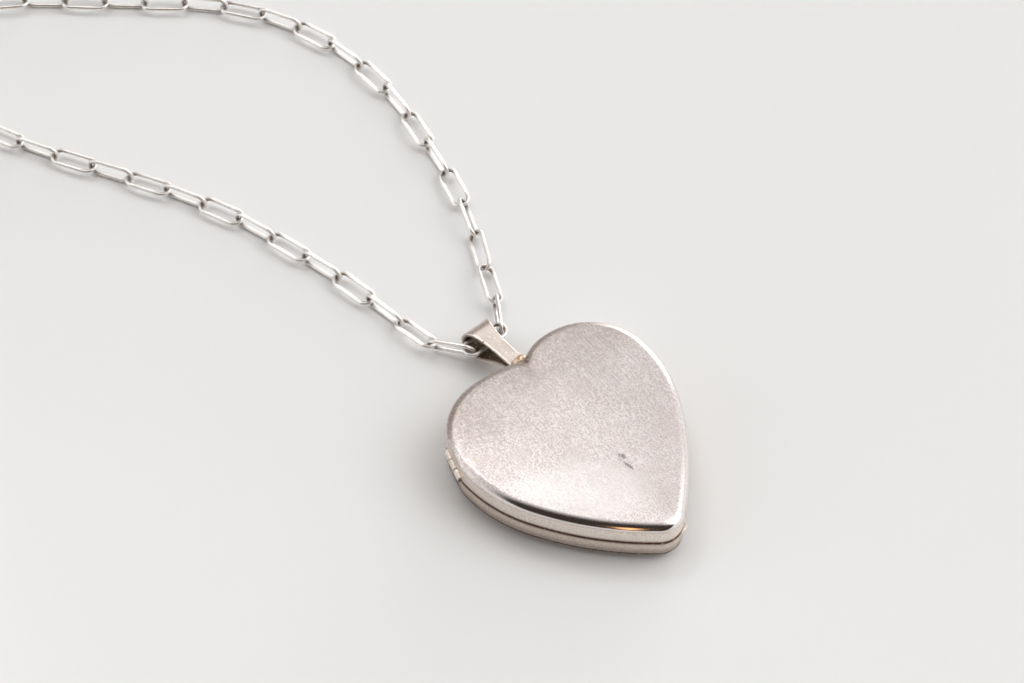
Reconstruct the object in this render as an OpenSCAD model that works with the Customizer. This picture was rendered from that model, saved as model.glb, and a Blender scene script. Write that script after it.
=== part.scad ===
// Heart locket on a cable chain, lying face down: the plain back cover is
// uppermost and the front cover rests on the table.
// +Z is up, +Y runs from the point of the heart towards the bail, +X across
// the lobes. The origin is on the table, under the middle of the heart.

/* [Heart] */
// Width of the heart across its two lobes
heart_w = 25; // [24:0.25:26]
// Height of the side band of each half
band_h = 2.1; // [1.9:0.05:2.3]
// Height of each domed face above its side band
dome_h = 1.2; // [1.1:0.05:1.4]
// Wall thickness of the side bands
band_t = 0.6; // [0.55:0.05:0.65]
// Thickness of the sheet of the domed faces
sheet_t = 0.4; // [0.3:0.05:0.45]
// How far the cleft of the heart sits off its middle line
cleft_off = 1.05; // [0:0.05:1.1]

/* [Closing lip and picture frames] */
// Running clearance between the closing lip and the back band
lip_gap = 0.05; // [0.04:0.01:0.08]
// Height of the closing lip above the parting plane
lip_h = 0.45; // [0.3:0.05:0.45]
// Width of the ring of each picture frame
frame_w = 1.2; // [0.9:0.1:1.4]

/* [Hinge] */
// Diameter of the hinge knuckles
knuckle_d = 0.8; // [0.75:0.05:0.85]
// Diameter of the hinge pin
pin_d = 0.36; // [0.3:0.02:0.4]
// Length of the three knuckles together
hinge_len = 3.8; // [3.4:0.1:4]
// Direction of the hinge from the middle of its lobe, in degrees above the width axis
hinge_dir = 17; // [14:1:20]

/* [Bail] */
// Width of the bail strip at its outer end
bail_w = 3.6; // [3.2:0.1:3.8]
// Width of the bail strip where it is soldered to the heart
bail_base_w = 2.1; // [1.8:0.1:2.3]
// Thickness of the bail strip
bail_t = 0.5; // [0.4:0.05:0.55]
// Inner diameter of the eye of the bail
bail_eye = 2.4; // [2.4:0.05:2.6]

/* [Chain] */
// Diameter of the wire of the chain links
wire_d = 0.47; // [0.44:0.01:0.48]
// Outer width of a chain link
link_w = 2.3; // [2.2:0.05:2.3]
// Play of each link on the next one
link_play = 0.08; // [0.06:0.01:0.1]

/* [Clasp] */
// Diameter of the ring of the clasp, along the middle of its tube
clasp_d = 4.6; // [4.5:0.05:4.6]
// Outer diameter of the tube that the clasp is bent from
clasp_tube = 1.1; // [1:0.02:1.1]

/* [Hidden] */
e = 0.01;

// ---- outline of the heart: five tangent arcs on each side
// radii and the directions of the outward normal where one arc meets the next
RR = [2.6, 36, 15.5, 7.4, 9.8];
AA = [-51, -29.5, 3.5, 81.5];
NN = [5, 9, 9, 14, 7];
function ctr(i) = i == 0 ? [0, 0]
    : ctr(i - 1) - (RR[i] - RR[i - 1]) * [cos(AA[i - 1]), sin(AA[i - 1])];
C = [for (i = [0:4]) ctr(i)];
hk = heart_w / 2 / (C[2][0] + RR[2]);
ymid = (C[4][1] + RR[4] - RR[0]) / 2;
function arc(i, a0, a1, n, o) = [for (j = [0:n - 1]) let (a = a0 + (a1 - a0) * j / n)
    hk * (C[i] - [0, ymid]) + (hk * RR[i] - o) * [cos(a), sin(a)]];
function half(o) = let (ae = acos(-hk * C[4][0] / (hk * RR[4] - o))) concat(
    arc(0, -90, AA[0], NN[0], o), arc(1, AA[0], AA[1], NN[1], o),
    arc(2, AA[1], AA[2], NN[2], o), arc(3, AA[2], AA[3], NN[3], o),
    arc(4, AA[3], ae, NN[4], o),
    [hk * (C[4] - [0, ymid]) + (hk * RR[4] - o) * [cos(ae), sin(ae)]]);
function smooth(t) = let (c = max(0, min(1, t))) c * c * (3 - 2 * c);
// the cleft is drawn a little to one side
function lean(p) = [p[0] + cleft_off * exp(-p[0] * p[0] / 9) * smooth((p[1] - 7) / 5), p[1]];
cleft = [cleft_off, half(0)[len(half(0)) - 1][1]];

// ---- hinge line, on the left lobe, a little inside the outline
hin = [-cos(hinge_dir), sin(hinge_dir)];
hit = [sin(hinge_dir), cos(hinge_dir)];
hi_out = let (q = hk * (C[3] - [0, ymid]) + hk * RR[3] * [cos(hinge_dir), sin(hinge_dir)]) [-q[0], q[1]];
hi = hi_out - 0.3 * hin;
// the bands and domes have a flat beside the hinge line
flat_u = 0.03;
function flatten(p) = let (u = (p - hi) * hin) u > -flat_u ? p - (u + flat_u) * hin : p;
function heart(o) = let (h = half(o), m = len(h))
    [for (p = concat(h, [for (i = [m - 2:-1:1]) [-h[i][0], h[i][1]]])) flatten(lean(p))];
NP = len(heart(0));

// ---- heights
z_seam = dome_h + band_h;
z_band = z_seam + band_h;
z_top = z_band + dome_h;

module slab(o, z0, z1) translate([0, 0, z0]) linear_extrude(z1 - z0) polygon(heart(o));
module ring(o0, o1, z0, z1) translate([0, 0, z0]) linear_extrude(z1 - z0)
    difference() { polygon(heart(o0)); polygon(heart(o1)); }
module flip() translate([0, 0, 2 * z_seam]) mirror([0, 0, 1]) children();

// ---- domed faces: a tight roll at the edge, then a broad low crown
edge_h = 0.64 * dome_h;
edge_o = 1.3;
mid = [0, 0.5];
function oval(p) = let (d = p - mid, r = norm(d)) mid + d / r * 9.6;
function scaled(s) = let (h = heart(edge_o), g = pow(s, 5))
    [for (p = h) mid + s * (g * (p - mid) + (1 - g) * (oval(p) - mid))];
roll_a = [0, 16, 34, 52, 70];
function roll_o(a, t) = t + (edge_o - t) * (1 - cos(a));
function roll_z(a, t) = z_band + (edge_h - t) * sin(a) / sin(78) ;
function up(pts, z) = [for (p = pts) [p[0], p[1], z]];
crown_s = [1, 0.93, 0.84, 0.72, 0.57, 0.4, 0.22];
function crown_z(s, t) = z_band + edge_h - t + (dome_h - edge_h + 0.04) * (1 - pow(s, 2));
function sheet_rings(t) = concat(
    [for (a = roll_a) up(heart(t == 0 ? roll_o(a, 0) : t + 0.02 + (edge_o - t - 0.02) * (1 - cos(a))), roll_z(a, t))],
    [for (s = crown_s) up(scaled(s), crown_z(s, t))]);
module sheet() {
    out = sheet_rings(0);
    inn = sheet_rings(sheet_t);
    rings = concat([for (i = [len(out) - 1:-1:0]) out[i]], inn);
    n = len(rings);
    pts = concat([for (r = rings) each r],
        [[mid[0], mid[1], crown_z(0, 0)], [mid[0], mid[1], crown_z(0, sheet_t)]]);
    faces = concat(
        [for (j = [0:n - 2]) for (i = [0:NP - 1]) let (k = (i + 1) % NP)
            each [[j * NP + i, j * NP + k, (j + 1) * NP + k], [j * NP + i, (j + 1) * NP + k, (j + 1) * NP + i]]],
        [for (i = [0:NP - 1]) let (k = (i + 1) % NP) [n * NP, k, i]],
        [for (i = [0:NP - 1]) let (k = (i + 1) % NP) [n * NP + 1, (n - 1) * NP + i, (n - 1) * NP + k]]);
    polyhedron(pts, faces, convexity = 6);
}
module back_dome() color([0.80, 0.77, 0.76]) intersection() {
    sheet();
    translate([-20, -20, 0]) cube([40, 40, z_top]);
}
module front_dome() color([0.80, 0.77, 0.76]) flip() intersection() {
    sheet();
    translate([-20, -20, 0]) cube([40, 40, z_top]);
}

// ---- hinge: two back knuckles with the front one between them, on one pin
kn = hinge_len / 3;
module along(s0, s1, r) translate([hi[0] + hit[0] * s0, hi[1] + hit[1] * s0, z_seam])
    rotate([0, 0, 90 - hinge_dir]) rotate([0, 90, 0]) cylinder(r = r, h = s1 - s0, $fn = 48);
kr = knuckle_d / 2;
kgap = 0.04;
module knuckle_room(mine) {
    // own knuckles fill their seat, the other half's turn freely in theirs
    if (mine == "back") {
        along(-hinge_len / 2 - e, -kn / 2, kr);
        along(kn / 2, hinge_len / 2 + e, kr);
        along(-kn / 2 - kgap, kn / 2 + kgap, kr + 0.06);
    } else {
        along(-hinge_len / 2 - 0.1, -kn / 2 + e, kr + 0.06);
        along(kn / 2 - e, hinge_len / 2 + 0.1, kr + 0.06);
        along(-kn / 2, kn / 2, kr);
    }
}
module hinge_knuckles_back() color([0.72, 0.68, 0.66]) {
    for (s = [-1, 1]) difference() {
        along(s > 0 ? kn / 2 + kgap : -hinge_len / 2, s > 0 ? hinge_len / 2 : -kn / 2 - kgap, kr);
        along(-hinge_len, hinge_len, pin_d / 2);
    }
}
module hinge_knuckle_front() color([0.74, 0.70, 0.68]) difference() {
    along(-kn / 2, kn / 2, kr);
    along(-hinge_len, hinge_len, pin_d / 2 + 0.03);
}
module hinge_pin() color([0.55, 0.52, 0.50]) along(-hinge_len / 2, hinge_len / 2, pin_d / 2);

// ---- side bands
module back_rim() color([0.76, 0.73, 0.72]) difference() {
    ring(0, band_t, z_seam, z_band);
    knuckle_room("back");
}
module front_rim() color([0.76, 0.73, 0.72]) difference() {
    flip() ring(0, band_t, z_seam, z_band);
    knuckle_room("front");
}
// thumbnail tab near the point, below the parting line
tab_p = hk * (C[0] - [0, ymid]) + hk * RR[0] * [cos(AA[0]), sin(AA[0])];
module opening_tab() color([0.76, 0.73, 0.72]) translate([0, 0, z_seam - 0.6])
    linear_extrude(0.58) difference() {
        translate(tab_p - 0.62 * [cos(AA[0]), sin(AA[0])]) circle(r = 1, $fn = 48);
        polygon(heart(0));
    }

// ---- inner bezels that the picture frames press into
bez_t = 0.4;
z_bez = z_seam + lip_h + 0.1;
module back_bezel() color([0.70, 0.66, 0.64]) ring(band_t, band_t + bez_t, z_bez, z_band - 0.25);
module front_bezel() color([0.70, 0.66, 0.64]) difference() {
    union() {
        flip() ring(band_t, band_t + bez_t, z_seam, z_band - 0.25);
        ring(band_t + lip_gap, band_t + bez_t, z_seam - e, z_seam + lip_h);
    }
    // the lip stops short of the hinge
    translate([hi[0], hi[1], z_seam]) rotate([0, 0, 90 - hinge_dir])
        translate([-2.6, -2, 0]) cube([5.2, 4, 2]);
    along(-hinge_len / 2 - 0.2, hinge_len / 2 + 0.2, kr + 0.06);
}

// ---- picture frames, clear windows and picture cards
fo = band_t + bez_t;
z_fr = z_bez + 0.05;
module photo_frame() {
    ring(fo, fo + frame_w, z_fr + 0.15, z_fr + 0.4);
    ring(fo, fo + 0.4, z_fr, z_fr + 0.15 + e);
}
module back_photo_frame() color([0.78, 0.72, 0.62]) union() photo_frame();
module back_window() color([0.85, 0.88, 0.88, 0.5]) slab(fo, z_fr + 0.4, z_fr + 0.6);
module back_photo_card() color([0.86, 0.82, 0.72]) slab(fo, z_fr + 0.6, z_fr + 0.8);
module front_photo_frame() color([0.78, 0.72, 0.62]) flip() union() photo_frame();
module front_window() color([0.85, 0.88, 0.88, 0.5]) flip() slab(fo, z_fr + 0.4, z_fr + 0.6);
module front_photo_card() color([0.86, 0.82, 0.72]) flip() slab(fo, z_fr + 0.6, z_fr + 0.8);

// ---- bail: one tapered strip folded round its eye, both ends at the cleft
eye = [cleft[1] + 6.57, 2.3];
apex = [cleft[1] + 0.95, 4.05];
root_y = cleft[1] + 0.55;
er = bail_eye / 2;
ea = atan2(eye[1] - apex[1], eye[0] - apex[0]);
eb = asin(er / norm(eye - apex));
a_up = ea + eb + 90;
a_dn = ea - eb - 90;
function eye_arc(r) = [for (j = [0:28]) let (a = a_up + (a_dn - a_up) * j / 28) eye + r * [cos(a), sin(a)]];
module bail() color([0.78, 0.76, 0.74]) intersection() {
    translate([cleft_off - 3, 0, 0]) rotate([90, 0, 90]) linear_extrude(6) intersection() {
        difference() {
            polygon(concat([apex + bail_t * [cos(a_up), sin(a_up)] - 2 * [sin(a_up), -cos(a_up)]],
                eye_arc(er + bail_t),
                [apex + bail_t * [cos(a_dn), sin(a_dn)] - 2 * [-sin(a_dn), cos(a_dn)]]));
            polygon(concat([apex], eye_arc(er)));
        }
        translate([root_y, 0]) square([12, 8]);
    }
    linear_extrude(8) polygon([
        [cleft_off - bail_base_w / 2, root_y - e], [cleft_off + bail_base_w / 2, root_y - e],
        [cleft_off + bail_w / 2, eye[0] + 1.8], [cleft_off - bail_w / 2, eye[0] + 1.8]]);
}
module bail_solder() color([0.62, 0.42, 0.30]) translate([0, 0, 3.55]) linear_extrude(1.25) difference() {
    translate([cleft_off, cleft[1] + 0.35]) circle(r = 0.85, $fn = 40);
    polygon(heart(0));
    translate([cleft_off - 3, root_y]) square([6, 3]);
}

// ---- chain: oval links standing and lying by turns
// route of the run that leaves on the left, and of the one on the right
coil_c = [-41.5, 80];
zc = 1.08;
left_route = [[-0.87, eye[0] - 0.2, 2.2], [-3.0, 21.6, 1.5], [-3.8, 26.2, 1.1], [-4.5, 30.9, zc],
    [-5.3, 35.8, zc], [-6.4, 40.4, zc], [-7.6, 45, zc], [-9, 49.7, zc], [-10.9, 54.2, zc],
    [-13, 58.6, zc], [-15.4, 62.9, zc], [-17.8, 67.1, zc], [-20.2, 71.4, zc], [-22.5, 76.2, zc],
    [-24.9, 82.2, zc]];
right_route = [[3.27, eye[0] - 0.2, 2.2], [5.3, 21.6, 1.5], [7.1, 25.4, 1.1], [9.2, 29.6, zc],
    [11.1, 33.9, zc], [12.5, 38.2, zc], [13.4, 42.4, zc], [14.3, 46.6, zc], [15.1, 51.2, zc],
    [15.3, 56.2, zc], [14.9, 61.2, zc], [13.8, 66, zc], [11.8, 70.8, zc], [9, 75.1, zc],
    [5.5, 78.9, zc], [1.6, 82.3, zc], [-2.4, 85.8, zc], [-6.3, 89.3, zc], [-11, 93, zc],
    [-16.8, 96.2, zc], [-23, 98.3, zc], [-30, 99, zc]];
// both runs are wound together into one flat coil, side by side
lane = 2.7;
function lane_pts(a0, r0, a1, r1, step) = [for (a = [a0:step:a1])
    [coil_c[0] + (r0 + (r1 - r0) * (a - a0) / (a1 - a0)) * cos(a),
     coil_c[1] + (r0 + (r1 - r0) * (a - a0) / (a1 - a0)) * sin(a), zc]];
left_coil = lane_pts(30, 15.88, 438.5, 9.75, 408.5 / 30);
right_coil = lane_pts(75, 17.83, 444.6, 12.37, 369.6 / 30);
// smooth curve through the points, then even steps along it
function cr(p0, p1, p2, p3, t) = 0.5 * (2 * p1 + (p2 - p0) * t + (2 * p0 - 5 * p1 + 4 * p2 - p3) * t * t
    + (3 * p1 - p0 - 3 * p2 + p3) * t * t * t);
function curve(p) = let (n = len(p)) concat([for (i = [0:n - 2]) for (t = [0:0.125:0.99])
    cr(p[max(i - 1, 0)], p[i], p[i + 1], p[min(i + 2, n - 1)], t)], [p[n - 1]]);
function cumul(p, i = 1, acc = [0]) = i >= len(p) ? acc
    : cumul(p, i + 1, concat(acc, [acc[i - 1] + norm(p[i] - p[i - 1])]));
function seek(cum, s, lo, hi_i) = hi_i - lo <= 1 ? lo
    : let (m = floor((lo + hi_i) / 2)) cum[m] <= s ? seek(cum, s, m, hi_i) : seek(cum, s, lo, m);
function at_len(p, cum, s) = let (i = seek(cum, min(s, cum[len(cum) - 1] - 1e-6), 0, len(cum) - 1))
    p[i] + (p[i + 1] - p[i]) * (s - cum[i]) / (cum[i + 1] - cum[i]);
function joints(p, n) = let (cum = cumul(p), all = cum[len(cum) - 1])
    [for (k = [0:n]) at_len(p, cum, all * k / n)];
left_n = 36;
right_n = 45;
left_j = joints(curve(concat(left_route, left_coil)), left_n);
right_j = joints(curve(concat(right_route, right_coil)), right_n);

wr = wire_d / 2;
lr = link_w / 2 - wr;
// an oval link along X, its flat side facing up; half is from its middle to
// the middle of its wire at either end
module link(half, r, w) {
    b = half - r;
    for (s = [-1, 1]) {
        translate([s * b, 0, 0]) rotate([0, 0, s > 0 ? -90 : 90])
            rotate_extrude(angle = 180, $fn = 40) translate([r, 0]) circle(r = w, $fn = 20);
        translate([-b, s * r, 0]) rotate([0, 90, 0]) cylinder(r = w, h = 2 * b, $fn = 20);
    }
}
module set_link(p, q, turn, half, r, w, lift) {
    d = q - p;
    translate((p + q) / 2 + [0, 0, lift]) rotate([0, -asin(d[2] / norm(d)), atan2(d[1], d[0])])
        rotate([turn, 0, 0]) link(half, r, w);
}
function play_half(j) = norm(j[12] - j[11]) / 2 + wr + link_play / 2;
function lift(t) = 0.16 * abs(sin(t)) - 0.08;
function left_turn(k) = 90 * (k % 2) + (k == 1 ? -14 : k == 2 ? 20 : 7 * sin(k * 77));
function right_turn(k) = 90 * (k % 2) + 90 * smooth(k / 6) + (k < 2 ? 0 : 7 * sin(k * 61));
module chain_left() color([0.86, 0.84, 0.82]) {
    // the link that lies in the bail
    translate([1.2, eye[0] - 0.08, 2.25]) link(2.65, lr, wr);
    for (k = [1:left_n]) set_link(left_j[k - 1], left_j[k], k == left_n ? 0 : left_turn(k),
        play_half(left_j), lr, wr, lift(left_turn(k)));
}
module chain_right() color([0.86, 0.84, 0.82])
    for (k = [1:right_n]) set_link(right_j[k - 1], right_j[k], right_turn(k),
        play_half(right_j), lr, wr, lift(right_turn(k)));

// ---- spring ring clasp, in the middle of the coil
cl = [coil_c[0] - 3.175, coil_c[1] + 10.0, 1.2];
cR = clasp_d / 2;
cr_o = clasp_tube / 2;
cr_i = cr_o - 0.17;
ca = -5;   // direction of the eye of the clasp
cb = 27;   // direction of the end ring
gap0 = 100;
gap1 = 140;
module bend(a0, a1, r) rotate([0, 0, a0]) rotate_extrude(angle = a1 - a0, $fn = 72)
    translate([cR, 0]) circle(r = r, $fn = 28);
module clasp_body() color([0.84, 0.82, 0.80]) translate(cl) difference() {
    union() {
        bend(gap1, 360 + gap0, cr_o);
        rotate([0, 0, ca]) translate([cR + cr_o + 0.45, 0, 0])
            rotate_extrude($fn = 40) translate([0.55, 0]) circle(r = 0.22, $fn = 20);
    }
    bend(gap1 - 1, 306, cr_i);
    bend(gap0 - 14, gap0 + 1, cr_i);
    rotate([0, 0, 153]) rotate_extrude(angle = 60, $fn = 72) translate([cR, -0.22]) square([1.2, 0.44]);
}
module clasp_bolt() color([0.78, 0.76, 0.74]) translate(cl) union() {
    bend(gap0 - 6, 190, cr_i - 0.04);
    rotate([0, 0, 160]) translate([cR, 0, 0]) rotate([0, 90, 0]) cylinder(r = 0.17, h = 1.05, $fn = 24);
    rotate([0, 0, 160]) translate([cR + 0.98, 0, 0]) rotate([0, 90, 0]) cylinder(r = 0.3, h = 0.25, $fn = 24);
}
module clasp_spring() color([0.60, 0.58, 0.56]) translate(cl)
    for (k = [0:9]) rotate([0, 0, 241 + 6.6 * k]) translate([cR, 0, 0]) rotate([90, 0, 0])
        rotate_extrude($fn = 32) translate([cr_i - 0.1, 0]) circle(r = 0.06, $fn = 14);
module clasp_jump_ring() color([0.84, 0.82, 0.80]) translate(cl) rotate([0, 0, ca])
    translate([cR + cr_o + 0.45 + 1.02, 0, 0]) rotate([90, 0, 0])
        rotate_extrude($fn = 48) translate([1.0, 0]) circle(r = 0.2, $fn = 20);
module end_ring() color([0.84, 0.82, 0.80]) translate(cl) rotate([0, 0, cb])
    translate([cR - cr_o - 0.29 + 1.85, 0, 0]) rotate([90, 0, 0]) link(1.85, 0.95, 0.25);

back_dome();
back_rim();
back_bezel();
back_photo_frame();
back_window();
back_photo_card();
front_dome();
front_rim();
front_bezel();
front_photo_frame();
front_window();
front_photo_card();
opening_tab();
hinge_knuckles_back();
hinge_knuckle_front();
hinge_pin();
bail();
bail_solder();
chain_left();
chain_right();
clasp_body();
clasp_bolt();
clasp_spring();
clasp_jump_ring();
end_ring();
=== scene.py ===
"""Heart locket on a cable chain, lying face down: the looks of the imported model."""

import bpy
import bmesh
import math
import numpy as np
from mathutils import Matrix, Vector, noise


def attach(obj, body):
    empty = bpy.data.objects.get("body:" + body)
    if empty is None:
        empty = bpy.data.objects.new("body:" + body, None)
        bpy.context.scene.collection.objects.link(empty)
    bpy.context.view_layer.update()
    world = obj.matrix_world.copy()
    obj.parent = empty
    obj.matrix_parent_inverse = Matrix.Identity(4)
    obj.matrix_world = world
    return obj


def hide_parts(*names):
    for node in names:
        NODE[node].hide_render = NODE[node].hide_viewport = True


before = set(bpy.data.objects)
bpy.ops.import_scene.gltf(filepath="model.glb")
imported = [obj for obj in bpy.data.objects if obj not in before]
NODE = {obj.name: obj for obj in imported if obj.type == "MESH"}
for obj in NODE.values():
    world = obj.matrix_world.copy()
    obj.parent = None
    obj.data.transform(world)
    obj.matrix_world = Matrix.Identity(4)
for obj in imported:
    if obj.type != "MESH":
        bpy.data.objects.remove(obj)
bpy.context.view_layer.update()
scene = bpy.context.scene
scene.view_settings.view_transform = "Standard"
MM = 0.001
rng = np.random.default_rng(7)

# ------------------------------------------------------------------ camera
cd = bpy.data.cameras.new("camera")
cd.lens, cd.sensor_width, cd.clip_start, cd.clip_end = 100.0, 36.0, 0.01, 20.0
cam = bpy.data.objects.new("camera", cd)
cam.location = (-0.108008, -0.116986, 0.254423)
cam.rotation_euler = [math.radians(a) for a in (34.595, 0.0, -39.7776)]
scene.collection.objects.link(cam)
scene.camera = cam


# ------------------------------------------------------------------ node helpers
class Mat:
    """A material and short ways of adding nodes to it."""

    def __init__(self, name):
        self.m = bpy.data.materials.new(name)
        self.m.use_nodes = True
        self.nt = self.m.node_tree
        self.nt.nodes.clear()
        self.out = self.nt.nodes.new("ShaderNodeOutputMaterial")
        self.bsdf = self.nt.nodes.new("ShaderNodeBsdfPrincipled")
        self.nt.links.new(self.bsdf.outputs[0], self.out.inputs[0])
        tc = self.nt.nodes.new("ShaderNodeTexCoord")
        # object coordinates in millimetres
        self.p = self.mapping(tc.outputs["Object"], scale=(1000, 1000, 1000))

    def node(self, kind, ins=(), **props):
        n = self.nt.nodes.new(kind)
        for k, v in props.items():
            setattr(n, k, v)
        for k, v in dict(ins).items():
            if isinstance(v, bpy.types.NodeSocket):
                self.nt.links.new(v, n.inputs[k])
            else:
                n.inputs[k].default_value = v
        return n

    def mapping(self, v, loc=(0, 0, 0), rot=(0, 0, 0), scale=(1, 1, 1), kind="POINT"):
        return self.node("ShaderNodeMapping", {"Vector": v, "Location": loc, "Scale": scale,
                         "Rotation": [math.radians(a) for a in rot]}, vector_type=kind).outputs[0]

    def noise(self, v, scale, detail=3.0, rough=0.5, warp=0.0, colour=False):
        n = self.node("ShaderNodeTexNoise", {"Vector": v, "Scale": scale, "Detail": detail,
                      "Roughness": rough, "Distortion": warp})
        return n.outputs["Color" if colour else "Fac"]

    def math(self, op, a, b=0.0, c=0.0, clamp=False):
        n = self.node("ShaderNodeMath", {0: a, 1: b, 2: c}, operation=op, use_clamp=clamp)
        return n.outputs[0]

    def vec(self, op, a, b=(0, 0, 0)):
        n = self.node("ShaderNodeVectorMath", {0: a, 1: b}, operation=op)
        return n.outputs["Value" if op in ("LENGTH", "DOT_PRODUCT") else "Vector"]

    def rng(self, v, a, b, c=0.0, d=1.0, smooth=True):
        n = self.node("ShaderNodeMapRange", {"Value": v, "From Min": a, "From Max": b, "To Min": c,
                      "To Max": d}, interpolation_type="SMOOTHSTEP" if smooth else "LINEAR")
        return n.outputs[0]

    def mix(self, f, a, b, mode="MIX"):
        n = self.node("ShaderNodeMix", {0: f, 6: a, 7: b}, data_type="RGBA", blend_type=mode)
        return n.outputs[2]

    def mixf(self, f, a, b):
        return self.node("ShaderNodeMix", {0: f, 2: a, 3: b}, data_type="FLOAT").outputs[0]

    def attr(self, name):
        return self.node("ShaderNodeAttribute", attribute_name=name).outputs["Fac"]

    def z(self, v):
        return self.node("ShaderNodeSeparateXYZ", {0: v}).outputs[2]

    def blob(self, centre, angle, rx, ry, wob=0.12, freq=6.0):
        """1 inside a small ragged oval of the surface, 0 outside."""
        w = self.vec("SUBTRACT", self.noise(self.p, freq, 2, colour=True), (0.5, 0.5, 0.5))
        q = self.vec("ADD", self.p, self.vec("MULTIPLY", w, (wob * 4, wob * 4, 0)))
        q = self.mapping(q, centre, (0, 0, angle), (rx, ry, 60), "TEXTURE")
        return self.rng(self.vec("LENGTH", q), 1.15, 0.6)

    def scratches(self, angle, across=15.0, along=0.22, lo=0.66, hi=0.74, seed=0.0):
        q = self.mapping(self.p, (seed, seed * 1.7, 0), (0, 0, angle), (across, along, 1.0))
        return self.rng(self.noise(q, 1.0, 1.5, 0.4), lo, hi)

    def finish(self, colour=None, rough=None, metal=None, height=None, dist=1e-5, strength=0.5, **fixed):
        b = self.bsdf
        for k, v in fixed.items():
            b.inputs[k.replace("_", " ")].default_value = v
        for k, v in (("Base Color", colour), ("Roughness", rough), ("Metallic", metal)):
            if v is None:
                continue
            if isinstance(v, bpy.types.NodeSocket):
                self.nt.links.new(v, b.inputs[k])
            else:
                b.inputs[k].default_value = v
        if height is not None:
            bump = self.node("ShaderNodeBump", {"Strength": strength, "Distance": dist, "Height": height})
            self.nt.links.new(bump.outputs[0], b.inputs["Normal"])
        return self.m


def rgb(r, g, b):
    return (r, g, b, 1.0)


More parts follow.
